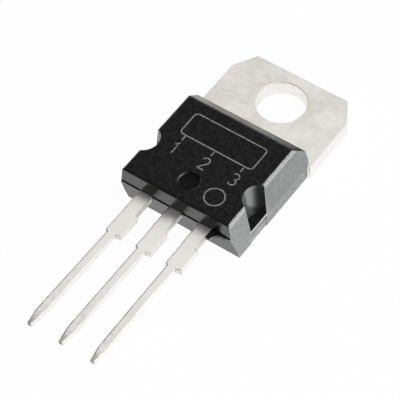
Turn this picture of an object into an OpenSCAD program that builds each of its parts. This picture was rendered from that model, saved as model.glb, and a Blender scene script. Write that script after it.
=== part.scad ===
// Three-lead voltage regulator in a plastic power package with a screw-down metal tab.
// It lies on the back of its tab. The origin is the axis of the mounting hole, on the back face.
// +X runs from the input lead to the output lead, +Y to the free end of the tab, +Z out of the marked face.

/* [Metal tab] */
// Width of the tab
tab_w = 10.2; // [10:0.05:10.4]
// Thickness of the tab and of the pad inside the case
tab_t = 1.27; // [1.23:0.01:1.32]
// Length of the tab that stands out of the case
tab_len = 6.4; // [6.2:0.05:6.6]
// Diameter of the mounting hole
hole_d = 3.85; // [3.75:0.01:3.95]
// From the axis of the hole to the free end of the tab
hole_to_end = 2.8; // [2.65:0.05:2.95]
// Width taken off each free corner of the tab
corner_x = 1.1; // [0.6:0.1:2]
// Length taken off each free corner of the tab
corner_y = 1.8; // [0.8:0.1:2.6]

/* [Plastic case] */
// How far each side of the case, at the level of the tab, stays inside the side of the tab
case_in = 0.22; // [0.1:0.01:0.3]
// Length of the case from the tab to the end with the leads, at the parting line
case_len = 9.65; // [9.3:0.05:9.8]
// Height of the marked face above the back
case_h = 4.3; // [4.2:0.05:4.6]
// How far each side leans in from the tab's level up to the marked face
side_lean = 0.31; // [0.1:0.01:0.4]
// Length of the long bevel towards the tab
bevel_len = 1.35; // [0.8:0.05:1.8]
// Drop of the long bevel
bevel_drop = 1.35; // [0.8:0.05:1.6]
// How far the wall under the bevel leans in
foot_lean = 0.31; // [0.1:0.01:0.4]
// Width of the step in the lead end at the parting line
ledge = 0.08; // [0.04:0.01:0.2]
// How far the lower half of the lead end slopes in towards the back
nose_slope = 0.75; // [0.3:0.05:0.9]
// How far the upper half of the lead end slopes in towards the marked face
brow_lean = 0.08; // [0.02:0.01:0.15]
// Radius of the long edges of the marked face
edge_r = 0.18; // [0.08:0.02:0.4]
// Radius of the edge of the marked face above the leads
brow_r = 0.2; // [0.04:0.02:0.3]
// Radius of the four upright corners
corner_r = 0.24; // [0.1:0.02:0.6]

/* [Side notches] */
// From the lead end of the case to the middle of the notches
notch_from_end = 3.2; // [2.8:0.05:3.5]
// Radius of a notch at the marked face
notch_r_top = 1.25; // [1.15:0.05:1.4]
// Radius of a notch at its floor
notch_r_floor = 1; // [0.9:0.05:1.1]
// How far the axis of a notch lies outside the side of the case
notch_out = 0.15; // [0:0.05:0.3]
// Plastic left on the metal in the floor of a notch
notch_skin = 0.12; // [0.06:0.02:0.3]

/* [Round recess] */
// Diameter of the round recess in the marked face
recess_d = 1.6; // [1.2:0.1:2]
// Depth of the round recess
recess_depth = 0.2; // [0.1:0.05:0.4]
// From the lead end of the case to the middle of the recess
recess_from_end = 1.75; // [1.3:0.05:2]

/* [Leads] */
// Spacing of the leads
pitch = 2.54; // [2.4:0.01:2.7]
// Thickness of a lead
lead_t = 0.5; // [0.48:0.01:0.6]
// Height of the underside of the leads above the back
lead_under = 2.4; // [2.3:0.01:2.72]
// Length of the leads beyond the case
lead_len = 13.2; // [12.7:0.1:14]
// Width of a lead where it leaves the case
root_w = 1.12; // [1.1:0.01:1.4]
// Length of that root, up to the stub of the tie strip
root_len = 1.95; // [1.6:0.05:2.2]
// Length of the stub of the tie strip
stub_len = 2.05; // [1.6:0.05:2.2]
// Reach of the stub to the left of the lead's centre line
stub_left = 0.53; // [0.4:0.01:0.7]
// Reach of the stub to the right of the lead's centre line
stub_right = 0.8; // [0.65:0.01:0.9]
// Width of the thin leg
leg_w = 0.66; // [0.61:0.01:0.8]
// Length of the tapered tip
tip_len = 1.2; // [0.6:0.1:2]
// Width of the blunt end of the tip
tip_w = 0.34; // [0.24:0.02:0.5]
// Thickness of the blunt end of the tip
tip_t = 0.34; // [0.2:0.02:0.44]
// How far the outer leads spread, in degrees
spread = 0.6; // [0:0.1:1.5]

/* [Web of leaked resin beside the output lead] */
// Reach of the web along the side of the lead
web_reach = 0.75; // [0.4:0.05:1]
// Width of the web before it curves back
web_w = 0.35; // [0.2:0.05:0.6]
// Reach of the thin lip from there to the corner of the case
web_lip = 0.12; // [0.09:0.01:0.2]
// Thickness of the web
web_t = 0.22; // [0.1:0.02:0.4]

/* [Pad inside the case] */
// Plastic beside the pad, between its edge and the side of the case
pad_wall = 0.3; // [0.25:0.01:0.45]
// Depth of the undercut along the edges of the pad
lock_in = 0.35; // [0.3:0.05:0.6]
// Height of the undercut along the edges of the pad
lock_h = 0.4; // [0.3:0.05:0.6]
// How far the full width of the tab runs into the case
shoulder_in = 0.3; // [0.2:0.05:0.5]
// From the end of the pad to the lead end of the case
pad_gap = 1.9; // [1.8:0.05:2.1]
// Width of the groove across the pad
groove_w = 0.4; // [0.3:0.05:0.6]
// Depth of that groove
groove_d = 0.15; // [0.1:0.05:0.3]
// From the tab's end of the case to the groove
groove_in = 1.2; // [1:0.05:1.4]
// Length of the cut tie strip in each notch
ear_len = 1.9; // [1.6:0.05:1.9]
// How far the cut tie strips stay short of the side of the case
ear_back = 0.06; // [0.03:0.01:0.1]

/* [Lead posts inside the case] */
// Width of the post of an outer lead
post_w = 2.2; // [1.8:0.05:2.3]
// Length of that post
post_len = 1.3; // [1.1:0.05:1.5]
// Length of the neck between the case wall and the post
neck_len = 0.7; // [0.6:0.05:0.9]
// How far a post sits outwards of its lead
post_out = 0.15; // [0:0.05:0.2]
// Diameter of the hole that locks a post in the plastic
lock_hole_d = 0.6; // [0.4:0.05:0.7]
// Run of the slope of the ground lead, from the pad up to the leads
rise_run = 1; // [0.8:0.05:1.1]

/* [Chip and wires] */
// Width of the chip
die_w = 2; // [1.8:0.1:2.2]
// Length of the chip
die_l = 2.2; // [2:0.1:2.4]
// Thickness of the chip
die_t = 0.28; // [0.2:0.02:0.4]
// Thickness of the solder under the chip
solder_t = 0.05; // [0.03:0.01:0.08]
// How far the solder shows around the chip
solder_rim = 0.12; // [0.05:0.01:0.2]
// From the lead end of the case to the middle of the chip
die_from_end = 4.9; // [4.8:0.05:5.3]
// Diameter of the bonding wires
wire_d = 0.2; // [0.15:0.01:0.25]
// Height of the arch of a long bonding wire above its chord
wire_arch = 0.6; // [0.5:0.05:0.8]
// Height of the arch of the ground wire above its chord
ground_arch = 0.4; // [0.3:0.05:0.5]

/* [Hidden] */
$fn = 64;

// Widths that follow from the tab
case_w = tab_w - 2*case_in;
pad_w = case_w - 2*pad_wall;

// Places along the package
foot_y = hole_to_end - tab_len;
end_y = foot_y - case_len;
bevel_foot_y = foot_y - foot_lean;
bevel_foot_z = case_h - bevel_drop;
face_start_y = bevel_foot_y - bevel_len;
shoulder_y = foot_y - shoulder_in;
pad_end_y = end_y + pad_gap;
bend_y = end_y - ledge;
tip_y = end_y - lead_len;
notch_y = end_y + notch_from_end;
notch_floor_z = tab_t + notch_skin;
notch_x = case_w/2 + notch_out;
recess_y = end_y + recess_from_end;
die_y = end_y + die_from_end;
die_top_z = tab_t + solder_t + die_t;
lead_top = lead_under + lead_t;
post_y = end_y + neck_len;
post_end_y = post_y + post_len;

// Landing places of the wires: bond pads on the chip, posts, and the pad in front of the chip
bond_inset = 0.4;
post_bond_in = 0.2;
ground_bond_gap = 0.75;
die_bond_y = die_y - die_l/2 + bond_inset;
post_bond = [pitch + post_out - post_bond_in, post_end_y - bond_inset];
ground_bond_y = die_y - die_l/2 - ground_bond_gap;
foot_w = 1.5*wire_d;
foot_l = 2*wire_d;

// Plastic between the end of a post and its locking hole
lock_hole_rim = 0.1;

// Depth of the shear marks where the stub of the tie strip meets the lead
shear_mark = 0.08;

// Extra reach of cutting shapes where they leave the case
cut = 0.5;
arc_steps = 5;

// Points on an arc, for rounded corners of outlines
function arc(c, r, from, to) =
    [for (i = [0:arc_steps]) let (a = from + (to - from)*i/arc_steps) c + r*[cos(a), sin(a)]];

module plate(points, z, t) {
    translate([0, 0, z]) linear_extrude(t) polygon(points);
}

// An outline in Y and Z, drawn out to a width along X
module along_x(points, w) {
    rotate([90, 0, 90]) translate([0, 0, -w/2]) linear_extrude(w) polygon(points);
}

// An outline in X and Z, drawn out from one Y to another
module along_y(points, from, to) {
    translate([0, to, 0]) rotate([90, 0, 0]) linear_extrude(to - from) polygon(points);
}

module tab_plate() {
    w = tab_w/2;
    difference() {
        plate([
            [-w, shoulder_y], [w, shoulder_y],
            [w, hole_to_end - corner_y], [w - corner_x, hole_to_end],
            [-w + corner_x, hole_to_end], [-w, hole_to_end - corner_y]
        ], 0, tab_t);
        translate([0, 0, -cut]) cylinder(d = hole_d, h = tab_t + 2*cut);
    }
}

// The pad is undercut along its edges, so that the plastic grips it, and its cut tie strips
// reach the notches. The reach is lengthened where the pad cuts its place in the case.
module pad_plate(over = 0) {
    back_w = pad_w - 2*lock_in;
    ear = case_w/2 - ear_back + over;
    translate([-pad_w/2, pad_end_y, lock_h]) cube([pad_w, shoulder_y - pad_end_y, tab_t - lock_h]);
    translate([-back_w/2, pad_end_y + lock_in, -over])
        cube([back_w, shoulder_y - pad_end_y - lock_in, lock_h + over]);
    translate([-ear, notch_y - ear_len/2, -over]) cube([2*ear, ear_len, tab_t + over]);
}

// A lead outside the case, from its root to its tip, with the stub of the tie strip.
// drift is how far it runs sideways for each millimetre of its length.
module lead_blade(y_start, drift = 0) {
    root = root_w/2;
    leg = leg_w/2;
    stub_start = end_y - root_len;
    stub_end = stub_start - stub_len;
    outline = [
        [-root, y_start], [-root, stub_start], [-stub_left, stub_start - shear_mark],
        [-stub_left, stub_end], [-leg, stub_end - shear_mark],
        [-leg, tip_y + tip_len], [-tip_w/2, tip_y],
        [tip_w/2, tip_y], [leg, tip_y + tip_len],
        [leg, stub_end - shear_mark], [stub_right, stub_end],
        [stub_right, stub_start - shear_mark], [root, stub_start], [root, y_start]
    ];
    intersection() {
        plate([for (p = outline) [p.x + drift*(y_start - p.y), p.y]], lead_under, lead_t);
        along_x([
            [y_start, lead_under], [y_start, lead_top], [tip_y + tip_len, lead_top],
            [tip_y, lead_under + (lead_t + tip_t)/2], [tip_y, lead_under + (lead_t - tip_t)/2],
            [tip_y + tip_len, lead_under]
        ], 3*root_w);
    }
}

// The ground lead rises from the top of the pad to the level of the other leads
module ground_rise() {
    low = tab_t - lead_t;
    rise = lead_under - low;
    corner = lead_t*tan(atan(rise/rise_run)/2);
    along_x([
        [pad_end_y + 2*corner, low], [pad_end_y, low], [pad_end_y - rise_run, lead_under],
        [end_y, lead_under], [end_y, lead_top], [pad_end_y - rise_run + corner, lead_top],
        [pad_end_y + corner, tab_t], [pad_end_y + 2*corner, tab_t]
    ], root_w);
}

module frame_metal(over = 0) {
    difference() {
        union() {
            tab_plate();
            pad_plate(over);
            ground_rise();
            lead_blade(end_y);
        }
        translate([-pad_w/2, foot_y - groove_in - groove_w/2, tab_t - groove_d])
            cube([pad_w, groove_w, groove_d + cut]);
    }
}

module heatsink_with_ground_lead() {
    color([0.87, 0.86, 0.84]) frame_metal();
}

// An outer lead: blade, neck and the broad post that takes the wire. side is -1 or 1.
module outer_lead(side) {
    translate([side*pitch, 0, 0]) {
        translate([-root_w/2, bend_y, lead_under]) cube([root_w, post_y - bend_y, lead_t]);
        lead_blade(bend_y, side*tan(spread));
        difference() {
            translate([side*post_out - post_w/2, post_y, lead_under]) cube([post_w, post_len, lead_t]);
            translate([side*post_out, post_y + lock_hole_d/2 + lock_hole_rim, lead_under - cut])
                cylinder(d = lock_hole_d, h = lead_t + 2*cut);
        }
    }
}

module input_lead() {
    color([0.88, 0.87, 0.85]) outer_lead(-1);
}

module output_lead() {
    color([0.88, 0.87, 0.85]) outer_lead(1);
}

module die_solder() {
    w = die_w + 2*solder_rim;
    l = die_l + 2*solder_rim;
    color([0.6, 0.6, 0.62]) translate([-w/2, die_y - l/2, tab_t]) cube([w, l, solder_t]);
}

module silicon_die() {
    color([0.35, 0.37, 0.42]) translate([-die_w/2, die_y - die_l/2, tab_t + solder_t])
        cube([die_w, die_l, die_t]);
}

// A wire that arches from one landing place to another, with a flattened foot at each end.
// Both places are given on the surfaces that the feet sit on.
module bond_wire(from, to, arch) {
    d = to - from;
    run = norm([d.x, d.y]);
    chord = norm(d);
    r = (chord*chord/4 + arch*arch)/(2*arch);
    half = asin(chord/(2*r));
    lean = atan2(d.z, run);
    translate(from) rotate([0, 0, atan2(d.y, d.x)]) {
        translate([0, 0, wire_d/2]) rotate([90, 0, 0])
            translate([run/2, d.z/2, 0] - (r - arch)*[-sin(lean), cos(lean), 0])
            rotate([0, 0, 90 + lean - half])
            rotate_extrude(angle = 2*half)
            translate([r, 0]) circle(d = wire_d);
        translate([-foot_l/2, -foot_w/2, 0]) cube([foot_l, foot_w, wire_d]);
        translate([run - foot_l/2, -foot_w/2, d.z]) cube([foot_l, foot_w, wire_d]);
    }
}

module outer_bond_wire(side) {
    color([0.8, 0.8, 0.82]) bond_wire(
        [side*(die_w/2 - bond_inset), die_bond_y, die_top_z],
        [side*post_bond.x, post_bond.y, lead_top], wire_arch);
}

module input_bond_wire() {
    outer_bond_wire(-1);
}

module output_bond_wire() {
    outer_bond_wire(1);
}

module ground_bond_wire() {
    color([0.8, 0.8, 0.82]) bond_wire(
        [0, die_bond_y, die_top_z], [0, ground_bond_y, tab_t], ground_arch);
}

// Side view of the case: sloping nose, step at the parting line, marked face, bevel and foot
module case_side_view(w) {
    lean = atan(brow_lean/(case_h - lead_top));
    brow_y = end_y + brow_lean + brow_r*tan((90 - lean)/2);
    along_x(concat(
        [[end_y + nose_slope, 0], [end_y - ledge, lead_top], [end_y, lead_top]],
        arc([brow_y, case_h - brow_r], brow_r, 180 - lean, 90),
        [[face_start_y, case_h], [bevel_foot_y, bevel_foot_z], [foot_y, tab_t], [foot_y, 0]]
    ), w);
}

// The web of resin lies level with the tops of the leads, from the output lead to the corner.
// Its curve is limited by the room up to the corner.
module resin_web() {
    bend_x = pitch + root_w/2 + web_w;
    far_x = case_w/2 - side_lean - corner_r;
    fillet_r = min(web_reach - web_lip, far_x - bend_x);
    plate(concat(
        [[pitch, post_y], [pitch, end_y - web_reach]],
        arc([bend_x + fillet_r, end_y - web_reach], fillet_r, 180, 90),
        [[far_x, end_y - web_lip], [far_x, post_y]]
    ), lead_top - web_t, web_t);
}

// End view of the case: sides upright up to the tab's level, then leaning in, with rounded edges
module case_end_view() {
    w = case_w/2;
    top = w - side_lean;
    lean = atan(side_lean/(case_h - tab_t));
    back = edge_r*tan((90 - lean)/2);
    along_y(concat(
        [[-w, 0], [w, 0], [w, tab_t]],
        arc([top - back, case_h - edge_r], edge_r, lean, 90),
        arc([-top + back, case_h - edge_r], edge_r, 90, 180 - lean),
        [[-w, tab_t]]
    ), end_y - cut, foot_y + cut);
}

// Plan of the case, with rounded upright corners
module case_plan() {
    x = case_w/2 - corner_r;
    low = end_y - ledge + corner_r;
    high = foot_y - corner_r;
    plate(concat(
        arc([x, low], corner_r, -90, 0), arc([x, high], corner_r, 0, 90),
        arc([-x, high], corner_r, 90, 180), arc([-x, low], corner_r, 180, 270)
    ), -cut, case_h + 2*cut);
}

module side_notch(side) {
    translate([side*notch_x, notch_y, notch_floor_z])
        cylinder(r1 = notch_r_floor, r2 = notch_r_top + cut*(notch_r_top - notch_r_floor)
            /(case_h - notch_floor_z), h = case_h - notch_floor_z + cut);
}

module epoxy_case() {
    color([0.13, 0.13, 0.13]) difference() {
        union() {
            intersection() {
                case_side_view(case_w + 2*cut);
                case_end_view();
                case_plan();
            }
            resin_web();
        }
        side_notch(-1);
        side_notch(1);
        translate([0, recess_y, case_h - recess_depth]) cylinder(d = recess_d, h = recess_depth + cut);
        frame_metal(cut);
        input_lead();
        output_lead();
        die_solder();
        silicon_die();
        input_bond_wire();
        output_bond_wire();
        ground_bond_wire();
    }
}

heatsink_with_ground_lead();
input_lead();
output_lead();
die_solder();
silicon_die();
input_bond_wire();
output_bond_wire();
ground_bond_wire();
epoxy_case();
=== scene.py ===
import math

import bmesh
import bpy
from mathutils import Matrix, Vector


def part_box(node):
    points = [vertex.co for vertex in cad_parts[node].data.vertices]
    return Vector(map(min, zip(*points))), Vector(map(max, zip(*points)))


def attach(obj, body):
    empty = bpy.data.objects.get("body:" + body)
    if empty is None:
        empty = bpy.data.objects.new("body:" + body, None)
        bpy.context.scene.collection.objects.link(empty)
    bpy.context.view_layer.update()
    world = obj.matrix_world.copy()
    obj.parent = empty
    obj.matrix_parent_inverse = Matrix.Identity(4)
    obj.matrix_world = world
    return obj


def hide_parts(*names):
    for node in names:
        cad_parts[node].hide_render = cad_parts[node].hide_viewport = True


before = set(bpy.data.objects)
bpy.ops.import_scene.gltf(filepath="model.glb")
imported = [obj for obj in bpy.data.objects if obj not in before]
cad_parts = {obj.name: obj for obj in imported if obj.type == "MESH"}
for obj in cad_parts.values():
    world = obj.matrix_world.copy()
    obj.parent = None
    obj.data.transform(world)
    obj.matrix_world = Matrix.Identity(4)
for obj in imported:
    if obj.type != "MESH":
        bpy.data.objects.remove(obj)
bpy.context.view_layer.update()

# Looks of a voltage regulator in a three-lead power package: tinned metal, moulded black epoxy
# and plain etched pin marks. Lengths are in millimetres where no other unit is named.
MM = 0.001
CASE_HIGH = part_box("epoxy_case")[1] / MM
METAL_LOW, METAL_HIGH = (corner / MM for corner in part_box("heatsink_with_ground_lead"))

# Heights of the marked face, the leads and the tab
FACE_Z = CASE_HIGH.z
LEAD_TOP = METAL_HIGH.z
TAB_TOP = 1.27

# Tab: its hole, and a line just behind its shoulders, inside the case
HOLE_R = 1.925
TAB_END_Y = CASE_HIGH.y - 0.4

# Leads: where they leave the case, and where the cut stub and the narrow leg begin
LEAD_LENGTH = 13.2
PITCH = 2.54
TIP_Y = METAL_LOW.y
END_Y = TIP_Y + LEAD_LENGTH
STUB_Y = END_Y - 2
LEG_Y = END_Y - 4.05

# Recess in the marked face
RECESS = (0, END_Y + 1.75)
RECESS_R = 0.8

# Side notches, and the outer faces of the cut tie strips in them
NOTCH = (CASE_HIGH.x + 0.15, END_Y + 3.2)
NOTCH_R = 1.25
NOTCH_FLOOR_R = 1
NOTCH_FLOOR_Z = TAB_TOP + 0.12
STRIP_X = CASE_HIGH.x - 0.06

# Rounding of the stamped edges: its full width, and the least angle of an edge that gets it
ROLLOVER = 0.13
SHARP = math.radians(15)

# Etched marks: stroke, terminal box, pin numbers and ring
STROKE = 0.1
MARK_DEPTH = 0.02
MARK_PROUD = 0.002
BOX_HALF_WIDTH = 3.1
BOX_LOW_Y = END_Y + 4.95
BOX_HIGH_Y = END_Y + 7.05
BOX_CORNER = 0.3
NUMBER_Y = END_Y + 3.6
NUMBER_HEIGHT = 1.05
PIN_LINE_END_Y = NUMBER_Y + 0.8
RING = (2.3, END_Y + 1.6)
RING_R = 0.75
RING_POINTS = 32

# The photograph's camera, found from the standard sizes of the package. Its place is in metres
CAMERA_PLACE = Vector((0.05533, -0.079963, 0.119493))
CAMERA_RIGHT = Vector((0.81412, 0.579319, -0.039988))
CAMERA_UP = Vector((-0.444877, 0.666482, 0.598236))
CAMERA_LENS = 186.67
SENSOR = 36
CLIP_START = 1

# The lamp, in metres and watts
LAMP_PLACE = Vector((0.2, 0.02, 0.36))
LAMP_AIM = Vector((0, -0.008, 0))
LAMP_SIZE = 0.25
LAMP_POWER = 0.55

# Darker places in the pale room: direction, the angles where each starts and is full, and its depth
DARK_PLACES = (
    ((-0.37, -0.6, 0.7), 56, 33, 0.97),
    ((-0.9, 0.42, 0.12), 34, 16, 0.85),
)

# The floor: its reach in metres, its height, and how white it shows to the lens
FLOOR_REACH = 3
FLOOR_Z = -0.01
FLOOR_WHITE = 0.96


class Wire:
    """A socket in a node tree. Arithmetic on it adds Math nodes."""

    def __init__(self, tree, socket=None):
        self.tree = tree
        self.socket = socket

    def add(self, kind, settings=None, inputs=None, output=0):
        """Adds a node. Its settings come first, then the values or links of its sockets."""
        node = self.tree.nodes.new("ShaderNode" + kind)
        for name, value in (settings or {}).items():
            setattr(node, name, value)
        for key, value in (inputs or {}).items():
            if isinstance(value, Wire):
                self.tree.links.new(value.socket, node.inputs[key])
            else:
                node.inputs[key].default_value = value
        return Wire(self.tree, node.outputs[output] if node.outputs else None)

    def math(self, operation, *values):
        return self.add("Math", {"operation": operation}, dict(enumerate(values)))

    def __add__(self, other):
        return self.math("ADD", self, other)

    def __sub__(self, other):
        return self.math("SUBTRACT", self, other)

    def __rsub__(self, other):
        return self.math("SUBTRACT", other, self)

    def __mul__(self, other):
        return self.math("MULTIPLY", self, other)

    def __pow__(self, other):
        return self.math("POWER", self, other)

    def __neg__(self):
        return self * -1

    def __abs__(self):
        return self.math("ABSOLUTE", self)

    __radd__ = __add__
    __rmul__ = __mul__

    def most(self, other):
        return self.math("MAXIMUM", self, other)

    def rise(self, low, high, start=0, end=1):
        """A soft step from start to end, while the value goes from low to high."""
        return self.add("MapRange", {"interpolation_type": "SMOOTHSTEP"}, {
            "Value": self, "From Min": low, "From Max": high, "To Min": start, "To Max": end})

    def fall(self, low, high):
        """A soft step from 1 to 0, while the value goes from low to high."""
        return 1 - self.rise(low, high)

    def between(self, low, high, soft):
        """1 from low to high, and 0 beyond soft edges outside them."""
        return self.rise(low - soft, low) * self.fall(high, high + soft)

    def split(self):
        node = self.add("SeparateXYZ", None, {0: self}).socket.node
        return [Wire(self.tree, out) for out in node.outputs]

    def stretch(self, x, y, z):
        return self.add("VectorMath", {"operation": "MULTIPLY"}, {0: self, 1: (x, y, z)})

    def noise(self, per_mm, detail=2, roughness=0.5):
        return self.add("TexNoise", None, {
            "Vector": self, "Scale": per_mm, "Detail": detail, "Roughness": roughness})

    def specks(self, per_mm, size):
        """Small round specks, 1 in each speck and 0 between them."""
        far = self.add("TexVoronoi", None, {"Vector": self, "Scale": per_mm}, "Distance")
        return far.fall(size * 0.5, size)

    def tint(self, plain, other):
        """A colour that goes from plain to other with this value."""
        return self.add("Mix", {"data_type": "RGBA"}, {
            "Factor": self, 6: colour(plain), 7: colour(other)}, 2)

    def bump(self, height, strength):
        """A normal with a relief of this height, in millimetres."""
        return self.add("Bump", None, {"Height": height, "Strength": strength, "Distance": MM})


def colour(value):
    """A link as it is, or red, green and blue with full alpha."""
    return value if isinstance(value, Wire) else (*value, 1)


def grey(level):
    return (level, level, level)


def distance(x, y, centre):
    """Distance from a centre, seen from above."""
    return ((x - centre[0]) ** 2 + (y - centre[1]) ** 2) ** 0.5


def new_material(name):
    material = bpy.data.materials.new(name)
    material.use_nodes = True
    material.node_tree.nodes.clear()
    return material, Wire(material.node_tree)


def place(wire):
    """Place on the part, in millimetres."""
    here = wire.add("TexCoord", output="Object")
    return here.stretch(1 / MM, 1 / MM, 1 / MM)


def facing(wire):
    return wire.add("NewGeometry", output="Normal").split()


def tinned_metal():
    """Matte tin plating on rolled copper: cloudy warm grey, with faint rolling lines and specks."""
    material, wire = new_material("tinned_metal")
    at = place(wire)
    x, y, z = at.split()
    nz = facing(wire)[2]
    cloud = at.noise(0.55, 4, 0.6)
    smudge = at.noise(2.4, 3, 0.6)
    rolled = at.stretch(9, 0.35, 9).noise(1.2, 3, 0.6)
    grain = at.noise(14, 2)
    specks = at.specks(0.8, 0.09) * at.noise(0.6).rise(0.45, 0.6)

    upright = abs(nz).fall(0.3, 0.6)
    on_lead = y.fall(END_Y, END_Y + 0.1)
    painted_case_shade = y.rise(END_Y - 0.8, END_Y - 0.05) * on_lead * (1 - upright)
    at_tip = y.fall(TIP_Y + 0.3, TIP_Y + 0.8)
    blunt_end = y.fall(TIP_Y + 0.03, TIP_Y + 0.06) * upright
    handled = y.fall(TIP_Y + 1, TIP_Y + 8) * smudge.rise(0.42, 0.62)
    cut_strip = abs(x).rise(STRIP_X - 0.2, STRIP_X - 0.14)
    cut_strip = cut_strip * y.between(NOTCH[1] - 1.2, NOTCH[1] + 1.2, 0.1)
    strip_highlight = cut_strip * z.rise(TAB_TOP - 0.2, TAB_TOP - 0.15)

    worn = cloud.rise(0.35, 0.65) * 0.55
    worn = worn + smudge.rise(0.35, 0.65) * 0.3
    worn = worn + rolled.rise(0.3, 0.7) * 0.15
    torn = grain.rise(0.3, 0.7).tint((0.3, 0.3, 0.295), (0.62, 0.62, 0.61))
    tone = worn.tint((0.66, 0.635, 0.59), (0.845, 0.825, 0.79))
    tone = (on_lead * 0.6).tint(tone, (0.93, 0.915, 0.88))
    tone = (handled * 0.35).tint(tone, (0.42, 0.41, 0.39))
    # Painted shade: the lead tops darken towards the case, standing in for the dark case mirrored in
    # them.
    tone = (painted_case_shade * 0.5).tint(tone, (0.68, 0.68, 0.67))
    tone = (at_tip * 0.5).tint(tone, (0.4, 0.395, 0.38))
    tone = (upright * 0.9).tint(tone, (0.94, 0.93, 0.91))
    tone = (blunt_end * 0.9).tint(tone, (0.27, 0.27, 0.26))
    tone = (specks * 0.55).tint(tone, (0.3, 0.29, 0.27))
    tone = cut_strip.tint(tone, torn)
    # Painted highlight: a near-white line along the top of each cut tie strip.
    tone = strip_highlight.tint(tone, (0.98, 0.98, 0.97))
    relief = grain * 0.004 + rolled * 0.002 + smudge * 0.006
    shader = wire.add("BsdfPrincipled", None, {
        "Base Color": tone,
        "Metallic": 1 - painted_case_shade * 0.26 - upright * on_lead * 0.85,
        "Roughness": 0.28 + cloud * 0.14 + grain * 0.06 + cut_strip * 0.25,
        "Normal": wire.bump(relief, 0.3)})
    wire.add("OutputMaterial", None, {0: shader})
    return material


def sheared_metal():
    """Edges rounded by the stamping tool. The left-facing ones carry painted shade, dark and spotty."""
    material, wire = new_material("sheared_metal")
    at = place(wire)
    x, y = at.split()[:2]
    nx = facing(wire)[0]
    spots = at.stretch(1, 0.6, 1).noise(3.2, 4, 0.7)
    on_lead = y.fall(END_Y + 0.5, END_Y + 1)
    on_leg = y.fall(LEG_Y, LEG_Y + 0.3)
    broken = spots.rise(0.52, 0.64) * (1 - on_leg) + spots.rise(0.38, 0.6) * on_leg
    # Painted shade: the edges that face left, away from the lamp, are darkened in broken spots.
    left_edge_shade = broken * (-nx).rise(0.05, 0.35) * on_lead

    from_lead = x - (x * (1 / PITCH)).math("ROUND") * PITCH
    at_stub_burr = y.between(STUB_Y - 0.08, STUB_Y + 0.08, 0.04)
    at_leg_burr = y.between(LEG_Y - 0.05, LEG_Y + 0.12, 0.05)
    burr = at_stub_burr.most(at_leg_burr) * from_lead.rise(0.45, 0.55) * on_lead
    burr = burr * at.noise(5, 2).rise(0.35, 0.5)

    tone = left_edge_shade.tint((0.78, 0.765, 0.73), (0.11, 0.108, 0.1))
    tone = (burr * 0.8).tint(tone, (0.06, 0.058, 0.05))
    shader = wire.add("BsdfPrincipled", None, {
        "Base Color": tone, "Metallic": 1, "Roughness": 0.35 + spots * 0.25,
        "Normal": wire.bump(spots * 0.006, 0.5)})
    wire.add("OutputMaterial", None, {0: shader})
    return material


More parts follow.
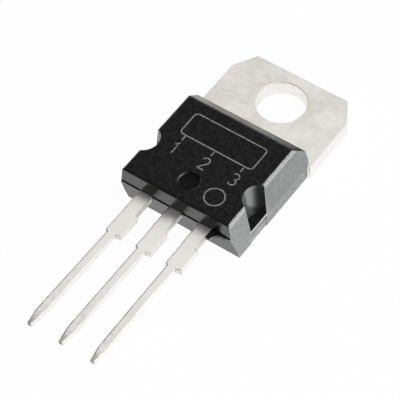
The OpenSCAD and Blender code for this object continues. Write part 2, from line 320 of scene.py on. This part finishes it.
class CaseSurface:
    """Place, facing, noises and regions that the finishes of the epoxy case go by."""

    def __init__(self, wire):
        at = place(wire)
        self.wire = wire
        self.x, self.y, self.z = at.split()
        self.nx, self.ny, self.nz = facing(wire)
        self.grain = at.noise(13, 3, 0.6)
        self.mottle = at.noise(3.2, 4, 0.6)
        self.cloud = at.noise(0.8, 3)
        self.side = abs(self.nx).rise(0.6, 0.95)
        in_notch = distance(abs(self.x), self.y, NOTCH).fall(NOTCH_R - 0.05, NOTCH_R + 0.07)
        self.in_notch = in_notch * self.z.rise(TAB_TOP - 0.1, TAB_TOP)
        # Painted light on the epoxy face beside each cut strip: a pale highlight line along the front
        # of the notch floor, and grey in place of the shade in the pocket below it.
        lip_light = abs(self.x).rise(STRIP_X - 0.02, STRIP_X + 0.02) * self.nz.fall(0.3, 0.6)
        lip_light = lip_light * self.y.between(NOTCH[1] - NOTCH_FLOOR_R, NOTCH[1] + NOTCH_FLOOR_R, 0.02)
        self.lip_light = lip_light * self.z.fall(NOTCH_FLOOR_Z + 0.01, NOTCH_FLOOR_Z + 0.03)

    def eroded_face(self):
        """Near black and blotchy, with painted shade in the recess and a broken painted highlight round
        its edge.
        """
        from_recess = distance(self.x, self.y, RECESS)
        recess_shade = from_recess.fall(RECESS_R - 0.06, RECESS_R - 0.02)
        rim_highlight = from_recess.between(RECESS_R - 0.02, RECESS_R + 0.02, 0.03)
        rim_highlight = rim_highlight * self.z.rise(FACE_Z - 0.05, FACE_Z - 0.02)
        rim_highlight = rim_highlight * abs(self.x - RECESS[0]).rise(0.45, 0.7) * self.grain.rise(0.4, 0.6)
        blotch = self.mottle.rise(0.34, 0.66) * 0.45 + self.grain.rise(0.35, 0.65) * 0.55
        tone = blotch.tint((0.0003, 0.0003, 0.0004), (0.022, 0.022, 0.0223))
        # Painted shade: the recess is darker than the face round it.
        tone = (recess_shade * 0.7).tint(tone, grey(0.002))
        # Painted highlight: broken pale arcs on the left and right of the recess edge.
        tone = (rim_highlight * 0.7).tint(tone, grey(0.2))
        return self.wire.add("BsdfPrincipled", None, {
            "Base Color": tone, "Roughness": 0.62 + self.grain * 0.25, "Specular IOR Level": 0.1,
            "Normal": self.wire.bump(self.grain * 0.02 + self.mottle * 0.01, 0.5)})

    def moulded_wall(self):
        """Smooth: grey-green on the sides, lighter towards the leads, black on the other walls."""
        cloudy = self.cloud.rise(0.3, 0.7) * 0.35 + self.grain.rise(0.3, 0.7) * 0.65
        towards_leads = 1 - self.y.rise(END_Y + 1, NOTCH[1] + 1.5, 0.82, 1)
        at_foot = self.z.fall(TAB_TOP - 0.1, TAB_TOP + 0.1)
        plain_side = self.side * (1 - self.in_notch)
        # Painted light: the inner wall of the notch is lighter grey, except where it faces up or
        # towards the leads.
        painted_notch_light = self.in_notch * self.nz.fall(0.4, 0.7) * (-self.ny).fall(0.35, 0.8)
        # Painted highlight: a pale strip, broken by the grain, on the rounded long edges and the top
        # band of the sides.
        edge = self.nz.between(0.2, 0.9, 0.1) * abs(self.nx).rise(0.25, 0.4)
        edge = edge.most(self.z.rise(FACE_Z - 0.5, FACE_Z - 0.25) * self.side) * (1 - self.in_notch)
        # Painted highlight at the top, and painted fill light below it, beside the cut strips.
        lip_light_tone = self.z.rise(TAB_TOP - 0.03, TAB_TOP).tint(grey(0.25), (0.62, 0.63, 0.62))
        tone = cloudy.tint((0.02, 0.032, 0.028), (0.068, 0.086, 0.08))
        tone = towards_leads.tint(tone, (0.35, 0.36, 0.355))
        tone = (at_foot * 0.6).tint(tone, (0.02, 0.022, 0.021))
        tone = (1 - plain_side).tint(tone, grey(0.005))
        tone = painted_notch_light.tint(tone, (0.115, 0.12, 0.118))
        tone = (edge * self.grain.rise(0.36, 0.54) * 0.8).tint(tone, (0.55, 0.56, 0.55))
        tone = self.lip_light.tint(tone, lip_light_tone)
        return self.wire.add("BsdfPrincipled", None, {
            "Base Color": tone, "Roughness": 0.16 + self.cloud * 0.12, "IOR": 1.9,
            "Coat Weight": self.side * (1 - self.mottle.rise(0.36, 0.64) * 0.5),
            "Coat IOR": 1.7, "Coat Roughness": 0.22,
            "Normal": self.wire.bump(self.grain * 0.006, 0.3)})

    def matte_share(self):
        """How much of the eroded finish shows: all of it on the face, and a part of it on the walls."""
        bevel = self.ny.rise(0.5, 0.68)
        to_leads = (-self.ny).rise(0.3, 0.5)
        ragged = self.z + self.grain * 0.5 + self.mottle * 0.6
        parts = (
            bevel * (0.14 + self.x.rise(-2, 4.8) * 0.5),
            bevel * ragged.rise(FACE_Z + 0.12, FACE_Z + 0.3) * 0.92,
            bevel * (self.x + self.mottle).rise(4, 4.8) * 0.85,
            to_leads * self.nz.rise(0.12, 0.35),
            to_leads * self.z.fall(LEAD_TOP - 0.04, LEAD_TOP) * 0.4,
            to_leads * self.grain.rise(0.4, 0.65) * 0.25,
            to_leads * ragged.rise(FACE_Z + 0.4, FACE_Z + 0.5) * 0.95,
            self.in_notch * self.x.rise(0, 1) * (-self.ny).rise(0.3, 0.8) * 0.95,
        )
        share = self.nz.rise(0.9, 0.97)
        for part in parts:
            share = share.most(part)
        return share * (1 - self.lip_light)


def black_epoxy():
    """Moulding compound: eroded and matte on the marked face, smoother and paler on the walls."""
    material, wire = new_material("moulded_epoxy")
    surface = CaseSurface(wire)
    shader = wire.add("MixShader", None, {
        0: surface.matte_share(), 1: surface.moulded_wall(), 2: surface.eroded_face()})
    wire.add("OutputMaterial", None, {0: shader})
    return material


def etched_mark():
    """Laser etching on the epoxy: pale grey and slightly broken up."""
    material, wire = new_material("etched_mark")
    broken = place(wire).noise(12, 3, 0.6)
    tone = broken.rise(0.38, 0.62).tint(grey(0.13), (0.34, 0.34, 0.335))
    shader = wire.add("BsdfPrincipled", None, {
        "Base Color": tone, "Roughness": 0.8, "Specular IOR Level": 0.2})
    wire.add("OutputMaterial", None, {0: shader})
    return material


def inner_metal(name, dark, light, roughness):
    """Solder, silicon or wire inside the case."""
    material, wire = new_material(name)
    cloud = place(wire).noise(5, 2)
    shader = wire.add("BsdfPrincipled", None, {
        "Base Color": cloud.tint(dark, light), "Metallic": 1, "Roughness": roughness + cloud * 0.1})
    wire.add("OutputMaterial", None, {0: shader})
    return material


def add_object(name, data):
    thing = bpy.data.objects.new(name, data)
    bpy.context.scene.collection.objects.link(thing)
    return thing


def rollover_share(middle, out):
    """Part of the full rounding that an edge gets, from its middle and the way it faces.

    The tool rolls over the left upper edges of the leads most. Edges inside the case stay sharp."""
    if middle.y < END_Y:
        return 1 if out.x < -0.3 and out.z > 0.3 else 0.3
    if middle.y > TAB_END_Y:
        at_hole = math.hypot(middle.x, middle.y) < HOLE_R + 0.3
        return 0.4 if at_hole and out.z > 0 else 0.3
    return 0


def softened(node, flat_finish, edge_finish):
    """Puts a copy with rounded edges in the place of a sharp metal piece."""
    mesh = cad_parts[node].data.copy()
    work = bmesh.new()
    work.from_mesh(mesh)
    bmesh.ops.remove_doubles(work, verts=work.verts, dist=0.001 * MM)
    bmesh.ops.dissolve_limit(work, verts=work.verts, edges=work.edges, angle_limit=math.radians(0.5))
    weight = work.edges.layers.float.new("bevel_weight_edge")
    for edge in work.edges:
        if len(edge.link_faces) == 2 and edge.calc_face_angle_signed(0) > SHARP:
            middle = (edge.verts[0].co + edge.verts[1].co) / (2 * MM)
            out = (edge.link_faces[0].normal + edge.link_faces[1].normal).normalized()
            edge[weight] = rollover_share(middle, out)
    for face in work.faces:
        face.material_index = 0
        face.smooth = True
    work.to_mesh(mesh)
    work.free()
    mesh.materials.clear()
    mesh.materials.append(flat_finish)
    mesh.materials.append(edge_finish)
    draft = add_object(node + "_draft", mesh)
    bevel = draft.modifiers.new("edges", "BEVEL")
    bevel.width = ROLLOVER * MM
    bevel.segments = 3
    bevel.limit_method = "WEIGHT"
    bevel.harden_normals = True
    bevel.use_clamp_overlap = False
    bevel.material = 1
    even = draft.modifiers.new("shading", "WEIGHTED_NORMAL")
    even.keep_sharp = True
    ready = draft.evaluated_get(bpy.context.evaluated_depsgraph_get())
    piece = add_object(node + "_finished", bpy.data.meshes.new_from_object(ready))
    bpy.data.objects.remove(draft)
    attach(piece, "root")
    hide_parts(node)


def arc(centre, radius, start, end, steps=14):
    """Points from one angle to another, in degrees."""
    angles = (math.radians(start + (end - start) * i / steps) for i in range(steps + 1))
    return [Vector(centre) + radius * Vector((math.cos(angle), math.sin(angle))) for angle in angles]


def stroke(work, line, closed=False):
    """Adds one etched stroke: a thin strip along the line, let into the face of the case."""
    count = len(line)
    sides = []
    for i, point in enumerate(line):
        before = line[i - 1] if closed or i else point
        after = line[(i + 1) % count] if closed or i < count - 1 else point
        back = (point - before).normalized() if point != before else (after - point).normalized()
        ahead = (after - point).normalized() if after != point else back
        run = (back + ahead).normalized()
        across = Vector((-run.y, run.x)) * (STROKE / 2 / max(run.dot(ahead), 0.5))
        ring = [(point + across, MARK_PROUD), (point - across, MARK_PROUD),
                (point - across, -MARK_DEPTH), (point + across, -MARK_DEPTH)]
        sides.append([work.verts.new((p.x * MM, p.y * MM, (FACE_Z + z) * MM)) for p, z in ring])
    pairs = zip(sides, sides[1:] + sides[:1]) if closed else zip(sides, sides[1:])
    for here, there in pairs:
        for i in range(4):
            j = (i + 1) % 4
            work.faces.new((here[i], here[j], there[j], there[i]))
    if not closed:
        work.faces.new(sides[0][::-1])
        work.faces.new(sides[-1])


def rounded_box(half_width, low, high, corner):
    """Outline of a box with round corners."""
    inner = half_width - corner
    top = high - corner
    bottom = low + corner
    outline = []
    for i, centre in enumerate(((inner, top), (-inner, top), (-inner, bottom), (inner, bottom))):
        outline += arc(centre, corner, 90 * i, 90 * i + 90, 4)
    return outline


def digit(number, x, y, height):
    """Lines of a plain 1, 2 or 3."""
    half = height / 2
    bow = height * 0.26
    if number == 1:
        stem = x + bow * 0.1
        flag = Vector((x - bow * 0.7, y + half * 0.55))
        return [[flag, Vector((stem, y + half)), Vector((stem, y - half))]]
    if number == 2:
        top = arc((x, y + half - bow), bow, 165, -35)
        return [top + [Vector((x - bow, y - half)), Vector((x + bow, y - half))]]
    upper = bow * 0.95
    return [arc((x, y + half - upper), upper, 150, -80), arc((x, y - half + bow), bow, 90, -150)]


def pin_marks(material):
    """A plain terminal diagram: a box with three lines to the pin numbers, and a ring."""
    work = bmesh.new()
    stroke(work, rounded_box(BOX_HALF_WIDTH, BOX_LOW_Y, BOX_HIGH_Y, BOX_CORNER), closed=True)
    for number in (1, 2, 3):
        x = (number - 2) * PITCH
        stroke(work, [Vector((x, BOX_LOW_Y - STROKE)), Vector((x, PIN_LINE_END_Y))])
        for line in digit(number, x, NUMBER_Y, NUMBER_HEIGHT):
            stroke(work, line)
    stroke(work, arc(RING, RING_R, 0, 360 - 360 / RING_POINTS, RING_POINTS - 1), closed=True)
    bmesh.ops.recalc_face_normals(work, faces=work.faces)
    mesh = bpy.data.meshes.new("pin_marks")
    work.to_mesh(mesh)
    work.free()
    mesh.materials.append(material)
    marks = add_object("pin_marks", mesh)
    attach(marks, "root")


def dress_part():
    tinned = tinned_metal()
    sheared = sheared_metal()
    for node in ("heatsink_with_ground_lead", "input_lead", "output_lead"):
        softened(node, tinned, sheared)
    finishes = {
        "epoxy_case": black_epoxy(),
        "die_solder": inner_metal("soft_solder", (0.42, 0.42, 0.43), (0.56, 0.56, 0.57), 0.45),
        "silicon_die": inner_metal("silicon", (0.1, 0.11, 0.15), (0.15, 0.16, 0.2), 0.15),
    }
    wire_finish = inner_metal("aluminium_wire", (0.74, 0.74, 0.76), (0.84, 0.84, 0.86), 0.3)
    for node in ("input_bond_wire", "output_bond_wire", "ground_bond_wire"):
        finishes[node] = wire_finish
    for node, material in finishes.items():
        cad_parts[node].material_slots[0].material = material
    pin_marks(etched_mark())


def white_to_lens(wire, share):
    """A share for rays from the lens, a glossy surface or a clear one, and 0 for the others."""
    node = wire.add("LightPath").socket.node
    seen, mirrored, through = (
        Wire(wire.tree, node.outputs[name])
        for name in ("Is Camera Ray", "Is Glossy Ray", "Is Transmission Ray"))
    return seen.most(mirrored).most(through) * share


def table_top():
    """Pale floor: it shows white to the lens and in reflections, with a soft shadow."""
    material, wire = new_material("table_top")
    soft = wire.add("BsdfDiffuse", None, {"Color": colour(grey(0.95))})
    white = wire.add("Emission", None, {"Color": colour(grey(1)), "Strength": 1})
    shader = wire.add("MixShader", None, {0: white_to_lens(wire, FLOOR_WHITE), 1: soft, 2: white})
    wire.add("OutputMaterial", None, {0: shader})
    mesh = bpy.data.meshes.new("table_top")
    signs = ((-1, -1), (1, -1), (1, 1), (-1, 1))
    corners = [(x * FLOOR_REACH, y * FLOOR_REACH, FLOOR_Z * MM) for x, y in signs]
    mesh.from_pydata(corners, [], [(0, 1, 2, 3)])
    mesh.materials.append(material)
    floor = add_object("table_top", mesh)


def studio():
    """A pale room with a dark place in front and above, another low on the left, and one lamp."""
    world = bpy.data.worlds.new("studio")
    bpy.context.scene.world = world
    world.use_nodes = True
    world.node_tree.nodes.clear()
    wire = Wire(world.node_tree)
    x, y, z = wire.add("TexCoord", output="Generated").split()
    light = 1
    for direction, start, full, depth in DARK_PLACES:
        way = Vector(direction).normalized()
        toward = x * way.x + y * way.y + z * way.z
        dark = toward.rise(math.cos(math.radians(start)), math.cos(math.radians(full)), 0, depth)
        light = light * (1 - dark)
    seen = wire.add("LightPath", output="Is Camera Ray")
    background = wire.add("Background", None, {"Color": colour(grey(1)), "Strength": light.most(seen)})
    wire.add("OutputWorld", None, {0: background})
    lamp_data = bpy.data.lights.new("softbox", "AREA")
    lamp_data.size = LAMP_SIZE
    lamp_data.energy = LAMP_POWER
    lamp = add_object("softbox", lamp_data)
    lamp.location = LAMP_PLACE
    lamp.rotation_euler = (LAMP_AIM - LAMP_PLACE).to_track_quat("-Z", "Y").to_euler()


def lens():
    data = bpy.data.cameras.new("lens")
    data.lens = CAMERA_LENS
    data.sensor_width = SENSOR
    data.clip_start = CLIP_START * MM
    camera = add_object("lens", data)
    back = CAMERA_RIGHT.cross(CAMERA_UP)
    turn = Matrix((CAMERA_RIGHT, CAMERA_UP, back)).transposed()
    camera.matrix_world = Matrix.Translation(CAMERA_PLACE) @ turn.to_4x4()
    bpy.context.scene.camera = camera


lens()
dress_part()
table_top()
studio()
bpy.context.scene.view_settings.view_transform = "Standard"
